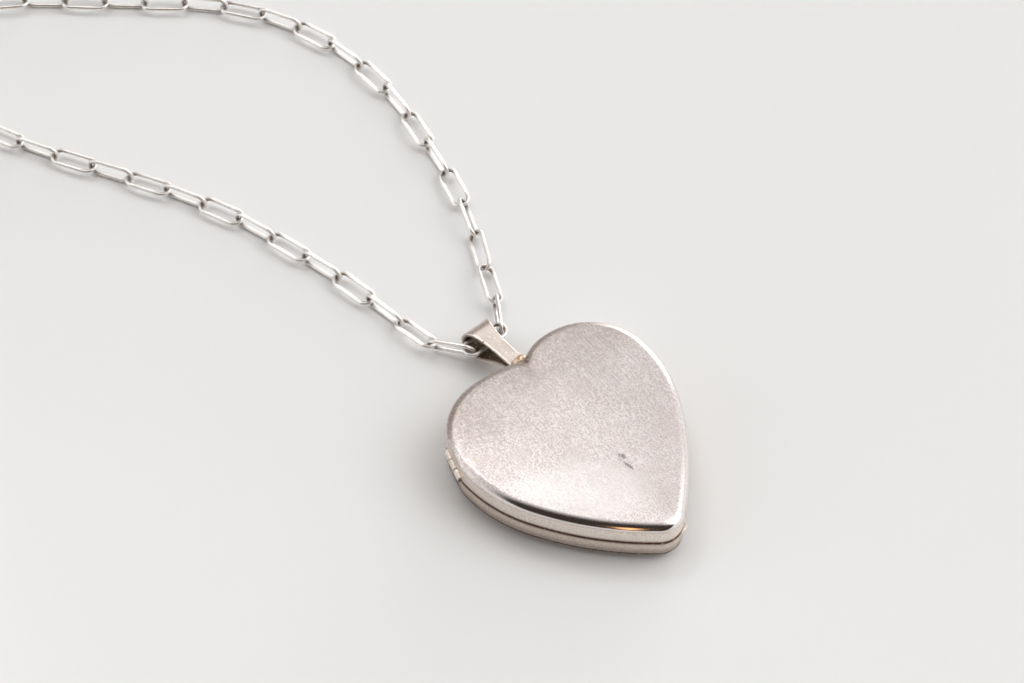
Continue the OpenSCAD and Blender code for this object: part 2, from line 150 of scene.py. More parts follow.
def silver_satin(name, brown=1.0, marks=True, stain_and_shade=(0.25, 0.185, 0.145)):
    """Brushed silver: fine brushing that wanders, grain, cloudy discolouring, stray scratches, and with marks a painted
    highlight.
    """
    m = Mat(name)
    warp = m.vec("SUBTRACT", m.noise(m.p, 0.13, 2, colour=True), (0.5, 0.5, 0.5))
    q = m.vec("ADD", m.p, m.vec("MULTIPLY", warp, (2.6, 2.6, 0)))
    streak = m.noise(m.mapping(q, rot=(0, 0, 4), scale=(7.5, 1.5, 1)), 1.0, 3, 0.6)
    cross = m.noise(m.mapping(q, rot=(0, 0, -58), scale=(7.0, 1.6, 1)), 1.0, 3, 0.6)
    grain = m.noise(m.p, 5.6, 4, 0.70)
    cloud = m.noise(m.p, 0.24, 4, 0.6)
    patch = m.noise(m.p, 0.62, 3, 0.55)
    fine = m.math("ADD", m.math("MULTIPLY", streak, 0.24), m.math("MULTIPLY", cross, 0.14))
    fine = m.math("ADD", fine, m.math("MULTIPLY", grain, 0.62))
    scr = m.math("MAXIMUM", m.scratches(2, 12, 0.2, 0.71, 0.78), m.scratches(-52, 13, 0.16, 0.72, 0.79, 4.0))
    tarn_and_shade = m.attr("tarn_and_shade")
    pol = m.attr("pol")
    col = m.mix(m.rng(fine, 0.42, 0.58), rgb(0.60, 0.53, 0.51), rgb(0.93, 0.865, 0.85))
    col = m.mix(m.math("MULTIPLY", m.rng(cloud, 0.42, 0.70), 0.42 * brown), col, rgb(0.66, 0.575, 0.55))
    col = m.mix(m.math("MULTIPLY", m.rng(patch, 0.50, 0.72), 0.30 * brown), col, rgb(0.72, 0.64, 0.60))
    pepper = m.rng(m.noise(m.p, 7.8, 3, 0.75), 0.58, 0.70)
    col = m.mix(m.math("MULTIPLY", pepper, 0.60), col, rgb(0.42, 0.355, 0.335))
    col = m.mix(m.math("MULTIPLY", scr, 0.35), col, rgb(0.97, 0.93, 0.92))
    if marks:
        # a place scoured one way, and a painted highlight: the lower middle painted lighter and whiter where the broad
        # highlight sits
        way = m.noise(m.mapping(m.p, rot=(0, 0, 2), scale=(14.0, 0.13, 1)), 1.0, 2, 0.5)
        scour = m.math("MULTIPLY", m.blob((7.2, 6.4, 0), 0, 4.6, 3.9, 0.35, 0.8), m.rng(m.noise(m.p, 0.9, 3, 0.6), 0.36, 0.60, 0.0, 0.55))
        col = m.mix(m.math("MULTIPLY", scour, m.rng(way, 0.50, 0.60)), col, rgb(0.96, 0.92, 0.91))
        col = m.mix(m.math("MULTIPLY", scour, m.rng(way, 0.46, 0.38)), col, rgb(0.40, 0.335, 0.31))
        painted_highlight = m.blob((-4.4, -4.6, 0), -36, 7.2, 3.9, 0.5, 0.35)
        col = m.mix(m.math("MULTIPLY", painted_highlight, 0.42), col, rgb(0.93, 0.90, 0.885))
    col = m.mix(m.math("MULTIPLY", pol, 0.7), col, rgb(0.90, 0.86, 0.84))
    edge = m.math("MULTIPLY", tarn_and_shade, m.rng(m.noise(m.p, 2.3, 4, 0.7), 0.26, 0.56), clamp=True)
    speck = m.math("MULTIPLY", m.rng(m.noise(m.p, 1.7, 3, 0.8), 0.70, 0.78), 0.5)
    edge = m.math("MAXIMUM", edge, speck)
    # edges darken to this colour where the attribute asks: real tarnish, and painted shade on the front dome's foot and
    # along the back's far edges
    col = m.mix(edge, col, rgb(*stain_and_shade))
    rough = m.rng(fine, 0.3, 0.7, 0.43, 0.31)
    rough = m.mixf(pol, rough, m.rng(grain, 0.3, 0.7, 0.10, 0.15))
    height = m.math("ADD", fine, m.math("MULTIPLY", scr, -0.25))
    if marks:
        # an old knock: a smudge with two darker cores
        smudge = m.blob((0.85, -4.55, 0), 6, 0.42, 1.25, 0.10, 3.0)
        mk = m.math("MAXIMUM", m.blob((0.97, -3.85, 0), 18, 0.30, 0.50), m.blob((0.72, -5.15, 0), 8, 0.21, 0.70))
        mk = m.math("MULTIPLY", mk, m.rng(m.noise(m.p, 6.0, 3, 0.6), 0.30, 0.52))
        mk = m.math("MAXIMUM", mk, m.math("MULTIPLY", smudge, m.rng(m.noise(m.p, 4.0, 3, 0.6), 0.40, 0.66, 0.0, 0.42)))
        col = m.mix(m.math("MULTIPLY", mk, 0.80), col, rgb(0.16, 0.15, 0.15))
        height = m.math("ADD", height, m.math("MULTIPLY", mk, -0.9))
    metal = m.mixf(edge, 1.0, 0.6)
    height = m.math("MULTIPLY", height, m.mixf(pol, 1.0, 0.06))
    return m.finish(col, rough, metal, height, 2.6e-5, 0.62)


def silver_polished(name, base=(0.86, 0.83, 0.81), rough=(0.16, 0.30), dark=(0.085, 0.05, 0.035), spots=0.0, bump=0.25, low=0.83):
    """Polished silver with wear: rubbed haze, hairline scratches, brown tarnish held in the recesses."""
    m = Mat(name)
    grain = m.noise(m.p, 4.5, 5, 0.65)
    haze = m.noise(m.p, 0.9, 3, 0.6)
    scr = m.math("MAXIMUM", m.scratches(25, 14, 0.3, 0.66, 0.74), m.scratches(-60, 12, 0.3, 0.68, 0.76, 9.0))
    tarn_and_shade = m.attr("tarn_and_shade")
    a = rgb(*base)
    b = rgb(base[0] * low, base[1] * (low - 0.02), base[2] * (low - 0.04))
    col = m.mix(m.rng(grain, 0.36, 0.66), b, a)
    col = m.mix(m.math("MULTIPLY", m.rng(haze, 0.45, 0.75), 0.3), col, rgb(0.66, 0.58, 0.52))
    edge = m.math("MULTIPLY", tarn_and_shade, m.rng(m.noise(m.p, 3.1, 4, 0.7), 0.22, 0.46), clamp=True)
    if spots:
        sp = m.rng(m.noise(m.p, 2.6, 3, 0.75), 0.66, 0.74)
        edge = m.math("MAXIMUM", edge, m.math("MULTIPLY", sp, spots))
    col = m.mix(edge, col, rgb(*dark))
    r = m.rng(grain, 0.3, 0.7, rough[1], rough[0])
    r = m.mixf(edge, r, 0.5)
    metal = m.mixf(edge, 1.0, 0.45)
    height = m.math("ADD", m.math("MULTIPLY", grain, 0.6), m.math("MULTIPLY", scr, -0.5))
    return m.finish(col, r, metal, height, 1.6e-5, bump)


def solder_mat():
    m = Mat("solder_brown")
    n = m.noise(m.p, 2.4, 5, 0.65)
    f = m.noise(m.p, 7.5, 4, 0.6)
    col = m.mix(m.rng(n, 0.36, 0.62), rgb(0.55, 0.31, 0.18), rgb(0.99, 0.79, 0.61))
    col = m.mix(m.math("MULTIPLY", m.rng(f, 0.55, 0.68), 0.75), col, rgb(0.09, 0.05, 0.03))
    return m.finish(col, m.rng(f, 0.3, 0.7, 0.32, 0.6), 0.85, m.math("ADD", n, f), 5e-5, 0.6)


def gilt_mat():
    m = Mat("gilt_satin")
    n = m.noise(m.mapping(m.p, scale=(6, 1.2, 1)), 1.0, 4, 0.6)
    w = m.noise(m.p, 1.1, 3, 0.6)
    col = m.mix(m.rng(n, 0.3, 0.7), rgb(0.72, 0.53, 0.25), rgb(0.93, 0.77, 0.46))
    col = m.mix(m.math("MULTIPLY", m.rng(w, 0.52, 0.75), 0.5), col, rgb(0.72, 0.66, 0.60))
    scr = m.scratches(30, 12, 0.3)
    return m.finish(col, m.rng(n, 0.3, 0.7, 0.4, 0.24), 1.0, m.math("SUBTRACT", n, m.math("MULTIPLY", scr, 0.4)), 1.5e-5, 0.4)


def window_mat():
    m = Mat("acetate_clear")
    scr = m.math("MAXIMUM", m.scratches(35, 10, 0.2, 0.62, 0.72), m.scratches(-25, 12, 0.2, 0.66, 0.74, 5.0))
    haze = m.noise(m.p, 0.7, 4, 0.6)
    col = m.mix(m.rng(haze, 0.4, 0.7), rgb(0.985, 0.99, 0.985), rgb(0.93, 0.92, 0.86))
    return m.finish(col, m.math("ADD", m.rng(haze, 0.35, 0.75, 0.03, 0.11), m.math("MULTIPLY", scr, 0.2)), 0.0,
                    scr, 8e-6, 0.4, Transmission_Weight=1.0, IOR=1.48)


def card_mat():
    m = Mat("card_aged")
    fib = m.noise(m.mapping(m.p, rot=(0, 0, 35), scale=(9, 2.5, 3)), 1.0, 5, 0.7)
    fox = m.rng(m.noise(m.p, 0.8, 4, 0.7), 0.60, 0.72)
    edge = m.attr("tarn_and_shade")
    col = m.mix(m.rng(fib, 0.3, 0.7), rgb(0.70, 0.63, 0.49), rgb(0.84, 0.79, 0.66))
    col = m.mix(m.math("MULTIPLY", fox, 0.4), col, rgb(0.48, 0.34, 0.19))
    col = m.mix(m.math("MULTIPLY", edge, 0.5), col, rgb(0.50, 0.38, 0.24))
    return m.finish(col, m.rng(fib, 0.3, 0.7, 0.7, 0.9), 0.0, fib, 3e-5, 0.5)


def steel_mat():
    m = Mat("pin_steel")
    n = m.noise(m.mapping(m.p, scale=(3, 3, 3)), 1.0, 5, 0.65)
    col = m.mix(m.rng(n, 0.35, 0.65), rgb(0.40, 0.37, 0.34), rgb(0.64, 0.61, 0.58))
    return m.finish(col, m.rng(n, 0.3, 0.7, 0.42, 0.24), 1.0, n, 1.5e-5, 0.4)


MAT = {
    "satin": silver_satin("silver_satin_back"),
    # the front copy has a dark brown edge colour: painted contact shadow where it lies on the floor
    "satin_front_shaded": silver_satin("silver_satin_front", 0.7, False, (0.15, 0.08, 0.045)),
    "band": silver_polished("silver_band", (0.95, 0.87, 0.80), (0.30, 0.46), (0.11, 0.030, 0.016), 0.5),
    # a darker copy of the band for the front half: painted shade
    "band_front_shaded": silver_polished("silver_band_front", (0.80, 0.71, 0.63), (0.32, 0.48), (0.11, 0.045, 0.028), 0.7),
    "bail": silver_polished("silver_bail", (0.95, 0.86, 0.80), (0.24, 0.40), (0.115, 0.075, 0.042), 0.4, 0.6),
    "chain": silver_polished("silver_chain", (0.985, 0.97, 0.96), (0.28, 0.40), (0.30, 0.25, 0.21), 0.0, 0.08, 0.93),
    "clasp": silver_polished("silver_clasp", (0.90, 0.88, 0.865), (0.10, 0.20), (0.09, 0.065, 0.045), 0.3, 0.2),
    "dark": silver_polished("silver_dull", (0.66, 0.60, 0.56), (0.32, 0.50), (0.10, 0.06, 0.04), 0.8, 0.4),
    "solder": solder_mat(),
    "gilt": gilt_mat(),
    "window": window_mat(),
    "card": card_mat(),
    "steel": steel_mat(),
}


# ------------------------------------------------------------------ mesh helpers
def add(name, verts, faces, mat, body, nodes=(), attrs=None, smooth=35.0):
    me = bpy.data.meshes.new(name)
    me.from_pydata((np.asarray(verts, float) * MM).tolist(), [], [tuple(int(i) for i in f) for f in faces])
    # the first attribute holds darkening: real tarnish, and painted shade on the front pieces and along the back dome's
    # edges
    for k in ("tarn_and_shade", "pol"):
        a = me.attributes.new(k, "FLOAT", "POINT")
        v = (attrs or {}).get(k)
        if v is not None:
            a.data.foreach_set("value", np.asarray(v, np.float32))
    bm = bmesh.new()
    bm.from_mesh(me)
    bmesh.ops.recalc_face_normals(bm, faces=bm.faces)
    bm.to_mesh(me)
    bm.free()
    ob = bpy.data.objects.new(name, me)
    scene.collection.objects.link(ob)
    me.materials.append(MAT[mat])
    shade(ob, smooth)
    ob["want"] = body
    if nodes:
        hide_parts(*nodes)
    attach(ob, body)
    return ob


def shade(ob, smooth):
    me = ob.data
    me.polygons.foreach_set("use_smooth", [True] * len(me.polygons))
    me.set_sharp_from_angle(angle=math.radians(smooth))
    me.update()


def settle(ob, smooth=35.0):
    """Applies the modifiers."""
    dg = bpy.context.evaluated_depsgraph_get()
    me = bpy.data.meshes.new_from_object(ob.evaluated_get(dg), depsgraph=dg)
    ob.modifiers.clear()
    ob.data = me
    shade(ob, smooth)
    return ob


def cut(ob, cutters, smooth=35.0):
    """Takes closed shapes away from ob."""
    made = []
    for v, f in cutters:
        me = bpy.data.meshes.new("cutter")
        me.from_pydata((np.asarray(v, float) * MM).tolist(), [], [tuple(int(i) for i in q) for q in f])
        bm = bmesh.new()
        bm.from_mesh(me)
        bmesh.ops.recalc_face_normals(bm, faces=bm.faces)
        bm.to_mesh(me)
        bm.free()
        c = bpy.data.objects.new("cutter", me)
        scene.collection.objects.link(c)
        made.append(c)
        mod = ob.modifiers.new("cut", "BOOLEAN")
        mod.operation, mod.solver, mod.object = "DIFFERENCE", "EXACT", c
    bpy.context.view_layer.update()
    settle(ob, smooth)
    for c in made:
        bpy.data.objects.remove(c)
    return ob


def bevel(ob, width, segments=2, angle=40.0, smooth=35.0):
    mod = ob.modifiers.new("bevel", "BEVEL")
    mod.width, mod.segments, mod.limit_method, mod.angle_limit = width * MM, segments, "ANGLE", math.radians(angle)
    mod.use_clamp_overlap = True
    bpy.context.view_layer.update()
    return settle(ob, smooth)


def skin(rings, close=False, caps=False):
    n, m = len(rings[0]), len(rings)
    f = []
    for j in range(m if close else m - 1):
        a, b = j * n, ((j + 1) % m) * n
        f += [(a + i, a + (i + 1) % n, b + (i + 1) % n, b + i) for i in range(n)]
    if caps:
        f += [tuple(range(n - 1, -1, -1)), tuple(range((m - 1) * n, m * n))]
    return np.vstack(rings), f


def fillet(pts, n=3):
    """A closed profile from corners (o, z, radius)."""
    out = []
    m = len(pts)
    for i, (x, y, r) in enumerate(pts):
        p = np.array([x, y])
        a = np.array(pts[i - 1][:2]) - p
        b = np.array(pts[(i + 1) % m][:2]) - p
        if r <= 0:
            out.append(p)
            continue
        a, b = p + a / np.linalg.norm(a) * r, p + b / np.linalg.norm(b) * r
        for k in range(n + 1):
            t = k / n
            out.append((1 - t) ** 2 * a + 2 * t * (1 - t) * p + t * t * b)
    return out


def lathe(o, axis, prof, n=48, close=False, caps=True):
    """A shape of revolution from (distance along axis, radius) pairs."""
    o, axis = np.asarray(o, float), np.asarray(axis, float) / np.linalg.norm(axis)
    u = np.cross(axis, [0, 0, 1.0]) if abs(axis[2]) < 0.9 else np.array([1.0, 0, 0])
    u = u / np.linalg.norm(u)
    v = np.cross(axis, u)
    ang = np.arange(n) * 2 * math.pi / n
    rings = [o + axis * s + r * (np.cos(ang)[:, None] * u + np.sin(ang)[:, None] * v) for s, r in prof]
    return skin(rings, close, caps and not close)


# ------------------------------------------------------------------ outline of the heart
def sm(t):
    t = np.clip(t, 0, 1)
    return t * t * (3 - 2 * t)


def dirv(a):
    return np.array([math.cos(math.radians(a)), math.sin(math.radians(a))])


RR, AA = [2.6, 36, 15.5, 7.4, 9.8], [-51, -29.5, 3.5, 81.5]
CC = [np.zeros(2)]
for i in range(1, 5):
    CC.append(CC[-1] - (RR[i] - RR[i - 1]) * dirv(AA[i - 1]))
HK = 12.5 / (CC[2][0] + RR[2])
YM = np.array([0, (CC[4][1] + RR[4] - RR[0]) / 2])
CL_OFF = 1.05
HIN, HIT = np.array([-math.cos(math.radians(17)), math.sin(math.radians(17))]), np.array([math.sin(math.radians(17)), math.cos(math.radians(17))])
_q = HK * (CC[3] - YM) + HK * RR[3] * dirv(17)
HI = np.array([-_q[0], _q[1]]) - 0.3 * HIN
COUNT = [24, 40, 40, 60, 34]


def heart(o):
    ae = math.degrees(math.acos(-HK * CC[4][0] / (HK * RR[4] - o)))
    pts = []
    for i, (a0, a1) in enumerate(zip([-90] + AA, AA + [ae])):
        for j in range(COUNT[i] + (1 if i == 4 else 0)):
            pts.append(HK * (CC[i] - YM) + (HK * RR[i] - o) * dirv(a0 + (a1 - a0) * j / COUNT[i]))
    h = np.array(pts)
    p = np.vstack([h, h[-2:0:-1] * [-1, 1]])
    p[:, 0] += CL_OFF * np.exp(-p[:, 0] ** 2 / 9) * sm((p[:, 1] - 7) / 5)
    u = (p - HI) @ HIN
    k = u > -0.03
    p[k] -= (u[k] + 0.03)[:, None] * HIN
    return p


def up(p, z):
    return np.column_stack([p, np.full(len(p), float(z))])


CLEFT = heart(0)[sum(COUNT)]
Z_SEAM, Z_BAND, Z_TOP = 3.3, 5.4, 6.6


def flip(v):
    v = np.array(v, float)
    v[:, 2] = 2 * Z_SEAM - v[:, 2]
    return v


# ------------------------------------------------------------------ chain, as two runs of links
EYE = np.array([CLEFT[1] + 6.57, 2.3])
zc = 1.08
ey = EYE[0]
left_route = [[-0.87, ey - 0.2, 2.2], [-3.0, 21.6, 1.5], [-3.8, 26.2, 1.1], [-4.5, 30.9, zc],
    [-5.3, 35.8, zc], [-6.4, 40.4, zc], [-7.6, 45, zc], [-9, 49.7, zc], [-10.9, 54.2, zc],
    [-13, 58.6, zc], [-15.4, 62.9, zc], [-17.8, 67.1, zc], [-20.2, 71.4, zc], [-22.5, 76.2, zc],
    [-24.9, 82.2, zc]]
right_route = [[3.27, ey - 0.2, 2.2], [5.3, 21.6, 1.5], [7.1, 25.4, 1.1], [9.2, 29.6, zc],
    [11.1, 33.9, zc], [12.5, 38.2, zc], [13.4, 42.4, zc], [14.3, 46.6, zc], [15.1, 51.2, zc],
    [15.3, 56.2, zc], [14.9, 61.2, zc], [13.8, 66, zc], [11.8, 70.8, zc], [9, 75.1, zc],
    [5.5, 78.9, zc], [1.6, 82.3, zc], [-2.4, 85.8, zc], [-6.3, 89.3, zc], [-11, 93, zc],
    [-16.8, 96.2, zc], [-23, 98.3, zc], [-30, 99, zc]]


def lane_pts(a0, r0, a1, r1, n=30):
    out = []
    for i in range(n + 1):
        a, r = a0 + (a1 - a0) * i / n, r0 + (r1 - r0) * i / n
        out.append([-41.5 + r * math.cos(math.radians(a)), 80 + r * math.sin(math.radians(a)), zc])
    return out


def curve(p):
    p = np.array(p, float)
    n = len(p)
    out = []
    for i in range(n - 1):
        a, b, c, d = p[max(i - 1, 0)], p[i], p[i + 1], p[min(i + 2, n - 1)]
        for k in range(8):
            t = k / 8
            out.append(0.5 * (2 * b + (c - a) * t + (2 * a - 5 * b + 4 * c - d) * t * t + (3 * b - a - 3 * c + d) * t ** 3))
    return np.array(out + [p[-1]])


def joints(c, n):
    acc = np.concatenate([[0], np.cumsum(np.linalg.norm(np.diff(c, axis=0), axis=1))])
    s = np.linspace(0, acc[-1], n + 1)
    return np.column_stack([np.interp(s, acc, c[:, k]) for k in range(3)]), acc[-1]


WR, LR = 0.235, 0.915


def link(half, seed):
    """An oval link lying in its own XY plane, and where tarnish stays on it."""
    b = half - LR
    na, ns, nr = 16, 6, 16
    path = []
    for s in (1, -1):
        for k in range(na + 1):
            a = math.radians((-90 if s > 0 else 90) + 180 * k / na)
            path.append((s * b + LR * math.cos(a), LR * math.sin(a), math.cos(a), math.sin(a)))
        for k in range(1, ns):
            path.append((s * (b - 2 * b * k / ns), s * LR, 0.0, float(s)))
    ang = np.arange(nr) * 2 * math.pi / nr
    rings, tarn_and_shade = [], []
    for x, y, nx, ny in path:
        # the wire is a little worn and flattened
        k = 1 - 0.02 * abs(noise.noise((x * 0.9 + seed, y * 0.9, seed * 0.7)))
        cx, sx = np.cos(ang), np.sin(ang)
        sq = (np.abs(cx) ** 2.3 + np.abs(sx) ** 2.3) ** (-1 / 2.3)
        ca, sa = cx * sq * WR * 0.985 * k, sx * sq * WR * 0.965 * k
        rings.append(np.column_stack([x + nx * ca, y + ny * ca, sa]))
        end = sm((abs(x) - b * 0.75) / (0.6 + b * 0.25))
        tarn_and_shade.append(np.clip(end * (0.45 - 0.75 * cx), 0, 1))
    v, f = skin(rings, close=True)
    return v, f, np.concatenate(tarn_and_shade)


def rot(axis, deg):
    c, s = math.cos(math.radians(deg)), math.sin(math.radians(deg))
    return np.array({"x": [[1, 0, 0], [0, c, -s], [0, s, c]], "y": [[c, 0, s], [0, 1, 0], [-s, 0, c]],
                     "z": [[c, -s, 0], [s, c, 0], [0, 0, 1]]}[axis])


def run(js, half, turn, first):
    V, F, T, n = [], [], [], 0
    for k in range(first, len(js)):
        if k == 0:  # the link that lies in the bail
            v, f, t = link(2.65, 0.3)
            v = v + [1.2, EYE[0] - 0.08, 2.25]
        else:
            p, q = js[k - 1], js[k]
            d = q - p
            tr = turn(k)
            v, f, t = link(half, k * 1.37)
            R = rot("z", math.degrees(math.atan2(d[1], d[0]))) @ rot("y", -math.degrees(math.asin(d[2] / np.linalg.norm(d)))) @ rot("x", tr)
            v = v @ R.T + (p + q) / 2 + [0, 0, 0.16 * abs(math.sin(math.radians(tr))) - 0.08]
        V.append(v)
        F += [tuple(i + n for i in q) for q in f]
        T.append(t)
        n += len(v)
    return np.vstack(V), F, np.concatenate(T)


def sind(a):
    return math.sin(math.radians(a))


N_LEFT, N_RIGHT = 36, 45
left_c = curve(left_route + lane_pts(30, 15.88, 438.5, 9.75))
right_c = curve(right_route + lane_pts(75, 17.83, 444.6, 12.37))
left_j, left_len = joints(left_c, N_LEFT)
right_j, right_len = joints(right_c, N_RIGHT)


def left_turn(k):
    return 0.0 if k == N_LEFT else 90 * (k % 2) + (-14 if k == 1 else 20 if k == 2 else 7 * sind(k * 77))


def right_turn(k):
    return 90 * (k % 2) + 90 * float(sm(k / 6)) + (0 if k < 2 else 7 * sind(k * 61))


def half_of(j):
    return np.linalg.norm(j[12] - j[11]) / 2 + WR + 0.04


v, f, t = run(left_j, half_of(left_j), left_turn, 0)
chain_left = add("chain_left_links", v, f, "chain", "back_half", ["chain_left"], {"tarn_and_shade": t}, 60)
v, f, t = run(right_j, half_of(right_j), right_turn, 1)
chain_right = add("chain_right_links", v, f, "chain", "back_half", ["chain_right"], {"tarn_and_shade": t}, 60)


def refine(node, name, mat, body, width, segs=2, tarn_and_shade=0.0, angle=40.0):
    """A CAD node's shape again, welded, with its edges broken and smooth sides."""
    src = NODE[node].data
    bm = bmesh.new()
    bm.from_mesh(src)
    bmesh.ops.remove_doubles(bm, verts=bm.verts, dist=2e-6)
    bmesh.ops.dissolve_degenerate(bm, edges=bm.edges, dist=1e-6)
    bmesh.ops.dissolve_limit(bm, angle_limit=math.radians(0.5), verts=bm.verts, edges=bm.edges)
    v = np.array([p.co for p in bm.verts]) / MM
    bm.verts.index_update()
    f = [[q.index for q in face.verts] for face in bm.faces]
    bm.free()
    ob = add(name, v, f, mat, body, [node], {"tarn_and_shade": np.full(len(v), tarn_and_shade)})
    return bevel(ob, width, segs, angle)


clasp_body = refine("clasp_body", "clasp_ring", "clasp", "back_half", 0.03, tarn_and_shade=0.1)
clasp_bolt = refine("clasp_bolt", "clasp_bolt_and_knob", "clasp", "clasp_bolt_body", 0.03, tarn_and_shade=0.15)
clasp_spring = refine("clasp_spring", "clasp_spring_turns", "steel", "back_half", 0.0, 1)
jump_ring = refine("clasp_jump_ring", "clasp_jump_ring_wire", "clasp", "back_half", 0.0, 1, tarn_and_shade=0.15)
end_ring = refine("end_ring", "end_ring_wire", "clasp", "back_half", 0.0, 1, tarn_and_shade=0.15)

# the left run starts with the link that lies in the bail
through = np.array([[3.6 - 4.47 * i / 5, EYE[0] - 0.08 - 0.12 * i / 5, 2.25 - 0.05 * i / 5] for i in range(5)])
left_len += float(np.linalg.norm(through[0] - left_c[0]))


# ------------------------------------------------------------------ domed faces
EDGE_H, EDGE_O, SHEET, DOME_H = 0.768, 1.3, 0.4, 1.2
MID = np.array([0, 0.5])


def dome(seed, flipped):
    def outer():
        r, meta = [], []
        for a in np.linspace(0, 70, 15):
            r.append(up(heart(EDGE_O * (1 - math.cos(math.radians(a)))), Z_BAND + EDGE_H * math.sin(math.radians(a)) / math.sin(math.radians(78))))
            meta.append(a / 70)
        h = heart(EDGE_O)
        d = h - MID
        oval = MID + d / np.linalg.norm(d, axis=1)[:, None] * 9.6
        for s in np.concatenate([[1.0, 0.965, 0.93, 0.89], np.linspace(0.85, 0.04, 34)]):
            g = s ** 5
            p = MID + s * (g * d + (1 - g) * (oval - MID))
            z = Z_BAND + EDGE_H + (DOME_H - EDGE_H) * (0.5 * (1 - s * s) + 0.5 * (1 - s ** 6))
            r.append(up(p, z))
            meta.append(1 + (1 - s))
        return r, meta

    def inner():
        r = []
        for a in np.linspace(70, 0, 7):
            c = 1 - math.cos(math.radians(a))
            r.append(up(heart(SHEET + 0.02 + (EDGE_O - SHEET - 0.02) * c), Z_BAND + (EDGE_H - SHEET) * math.sin(math.radians(a)) / math.sin(math.radians(78))))
        return r

    o, meta = outer()
    h = heart(EDGE_O)
    d = h - MID
    oval = MID + d / np.linalg.norm(d, axis=1)[:, None] * 9.6
    inn = []
    for s in (0.05, 0.22, 0.4, 0.57, 0.72, 0.84, 0.93, 1.0):
        g = s ** 5
        inn.append(up(MID + s * (g * d + (1 - g) * (oval - MID)), Z_BAND + EDGE_H - SHEET + (DOME_H - EDGE_H + 0.04) * (1 - s * s)))
    n = len(o[0])
    rings = o + inn + inner()
    # the sheet isn't quite even: broad shallow waves and small dings, fading out at the edge
    tarn_and_shade, pol = [], []
    first = heart(0)
    for j, r in enumerate(rings):
        if j < len(o):
            m = meta[j]
            k = float(sm((m - 1.0) / 0.25))
            for i in range(n):
                x, y = r[i, 0], r[i, 1]
                w = 0.030 * noise.noise((x * 0.16 + seed, y * 0.16, 0)) + 0.011 * noise.noise((x * 0.5 + seed, y * 0.5, 3))
                w -= 0.035 * math.exp(-((x - 0.85) ** 2 / 0.35 + (y + 4.4) ** 2 / 1.3)) * (not flipped)
                r[i, 2] += k * (w - 0.018)
            near = np.linalg.norm(r[:, :2] - CLEFT, axis=1)
            tn = 1.15 * np.exp(-(near / 0.75) ** 2)
            # beside the cleft the edge has dulled to brown; the browner edge along the far lobe and on the left is
            # painted, standing for the dim far wall reflected there
            out = first / np.linalg.norm(first - MID, axis=1)[:, None]
            top = sm((first[:, 1] - 5.0) / 5.0)
            left = sm((-first[:, 0] - 6.0) / 5.0) * sm((first[:, 1] + 1) / 4)
            tn = tn + (0.36 * top + 0.24 * left) * math.exp(-((m - 0.75) / 0.5) ** 2)
            # less brown near the hinge, where a painted highlight lies, and darker in the crease at the dome's foot
            tn = tn * (1 - 0.35 * np.exp(-(np.linalg.norm(first - HI, axis=1) / 3.2) ** 2)) + 0.4 * math.exp(-((m - 0.0) / 0.06) ** 2)
            low = sm((2.6 - first[:, 1]) / 4.0)
            tarn_and_shade.append(np.clip(tn, 0, 1))
            pol.append((0.25 + 0.75 * low) * float(1 - sm((m - 0.55) / 0.38)))
        else:
            tarn_and_shade.append(np.full(n, 0.35))
            pol.append(np.zeros(n))
    v, f = skin(rings, close=False)
    # outer and inner middles, and the bottom edge
    base = len(v)
    c0 = o[-1].mean(0)
    v = np.vstack([v, c0])
    a = (len(o) - 1) * n
    f = [q for q in f if not (a <= q[0] < a + n)]
    f += [(a + i, a + (i + 1) % n, base) for i in range(n)]
    c1 = inn[0].mean(0)
    v = np.vstack([v, c1])
    b = len(o) * n
    f += [(b + (i + 1) % n, b + i, base + 1) for i in range(n)]
    last = (len(rings) - 1) * n
    f += [(last + i, last + (i + 1) % n, (i + 1) % n, i) for i in range(n)]
    tarn_and_shade = np.concatenate(tarn_and_shade + [[0.0, 0.3]])
    pol = np.concatenate(pol + [[0.0, 0.0]])
    return v, f, {"tarn_and_shade": tarn_and_shade, "pol": pol}


v, f, at = dome(0.0, False)
add("back_cover_dome", v, f, "satin", "back_half", ["back_dome"], at, 50)
v, f, at = dome(21.3, True)
# the front dome's foot, low by the floor, is painted dark brown: a painted contact shadow
at["tarn_and_shade"] = np.maximum(at["tarn_and_shade"], 1.5 * np.exp(-((v[:, 2] - Z_BAND - 0.1) / 0.5) ** 2))
add("front_cover_dome", flip(v), f, "satin_front_shaded", "front_half", ["front_dome"], at, 50)


# ------------------------------------------------------------------ hinge
KR, KG, HL = 0.4, 0.04, 3.8
KN = HL / 3
H3, HT3 = np.array([HI[0], HI[1], Z_SEAM]), np.array([HIT[0], HIT[1], 0])


def rod(s0, s1, r, n=48):
    return lathe(H3, HT3, [(s0, r), (s1, r)], n)


def knuckle(s0, s1, bore, name, body):
    r = 0.05
    prof = fillet([(s0, bore, 0.0), (s0, KR, r), (s1, KR, r), (s1, bore, 0.0)], 4)
    # a little worn in the middle
    prof = [(s, q - 0.012 * math.sin(math.pi * (s - s0) / (s1 - s0)) if q > 0.3 else q) for s, q in prof]
    v, f = lathe(H3, HT3, prof, 56, close=True)
    s = (v - H3) @ HT3
    e = np.minimum(abs(s - s0), abs(s - s1))
    rad = np.linalg.norm((v - H3) - s[:, None] * HT3, axis=1)
    return v, f, np.clip(0.3 * np.exp(-(e / 0.09) ** 2) + (rad < KR - 0.08) * 1.0, 0, 1)


